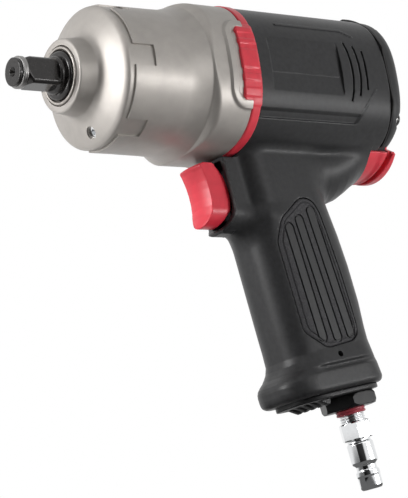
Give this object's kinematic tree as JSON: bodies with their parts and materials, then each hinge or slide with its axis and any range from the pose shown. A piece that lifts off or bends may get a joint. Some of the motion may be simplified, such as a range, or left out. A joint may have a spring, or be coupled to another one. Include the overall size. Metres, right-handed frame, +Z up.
{
  "type": "impact wrench",
  "caption": "Pistol-grip air impact wrench: square drive in a cast nose, composite motor housing with a raked handle, trigger, reverse knob and air plug.",
  "frame": {"origin": "centre of the square drive's end face", "axes": "+X back along the tool's axis, +Z up, the handle hangs toward -Z"},
  "size_m": [0.2084, 0.0772, 0.2349],
  "materials": {
    "cast_case": "satin",
    "bush_steel": "satin",
    "red_plastic": "satin",
    "black_steel": "satin",
    "wire_steel": "satin",
    "rubber": "matte",
    "dark_steel": "satin",
    "steel": "satin",
    "phenolic": "matte",
    "housing_plastic": "satin",
    "gasket_sheet": "matte",
    "grip_rubber": "matte",
    "brass": "satin",
    "plug_plate": "polished",
    "black_nut": "satin",
    "seal_red": "satin",
    "felt": "matte"
  },
  "bodies": {
    "housing": {"hammer_case": "cast_case", "nose_bushing": "bush_steel", "grease_plug": "dark_steel", "case_ring": "red_plastic", "cylinder_liner": "steel", "liner_dowel": "steel", "front_end_plate": "steel", "rear_end_plate": "steel", "front_rotor_bearing": "steel", "rear_rotor_bearing": "steel", "motor_housing": "housing_plastic", "rear_gasket": "gasket_sheet", "rear_cap": "housing_plastic", "case_bolts": "black_steel", "bolt_washers": "steel", "handle_housing": "housing_plastic", "grip_pads": "grip_rubber", "trigger_bushing": "brass", "throttle_sleeve": "steel", "throttle_spring": "steel", "reverse_bushing": "brass", "detent_ball": "steel", "detent_spring": "steel", "inlet_bushing": "black_nut", "inlet_screen": "steel", "inlet_seal": "seal_red", "air_plug": "plug_plate", "base_pin": "dark_steel", "exhaust_deflector": "housing_plastic", "exhaust_muffler": "felt"},
    "hammer_set": {"rotor": "steel", "rotor_vanes": "phenolic", "hammer_cage": "dark_steel", "hammer_dogs": "dark_steel", "hammer_pins": "steel"},
    "anvil_set": {"anvil": "black_steel", "friction_ring": "wire_steel", "anvil_o_ring": "rubber"},
    "trigger_set": {"trigger": "red_plastic", "trigger_rod": "steel", "trigger_pin": "steel", "throttle_valve": "brass", "throttle_o_ring": "rubber"},
    "reverse_set": {"reverse_knob": "red_plastic", "reverse_valve": "brass", "knob_screw": "steel"}
  },
  "joints": [
    {"name": "hammer_spin", "type": "hinge", "parent": "housing", "child": "hammer_set", "pos_m": [0.14, 0, 0], "axis": [1, 0, 0], "continuous": true},
    {"name": "anvil_spin", "type": "hinge", "parent": "housing", "child": "anvil_set", "pos_m": [0.03, 0, 0], "axis": [1, 0, 0], "continuous": true},
    {"name": "trigger_pull", "type": "slide", "parent": "housing", "child": "trigger_set", "axis": [1, 0, 0], "range_m": [0, 0.007], "stiffness_N_per_m": 1500, "springref_m": -0.004, "deforming": ["throttle_spring"]},
    {"name": "reverse_turn", "type": "hinge", "parent": "housing", "child": "reverse_set", "pos_m": [0.2, 0, -0.0217], "axis": [1, 0, 0], "range_deg": [-25, 25]}
  ],
  "couplings": [
    {"joint": "anvil_spin", "follows": "hammer_spin", "ratio": 1}
  ]
}
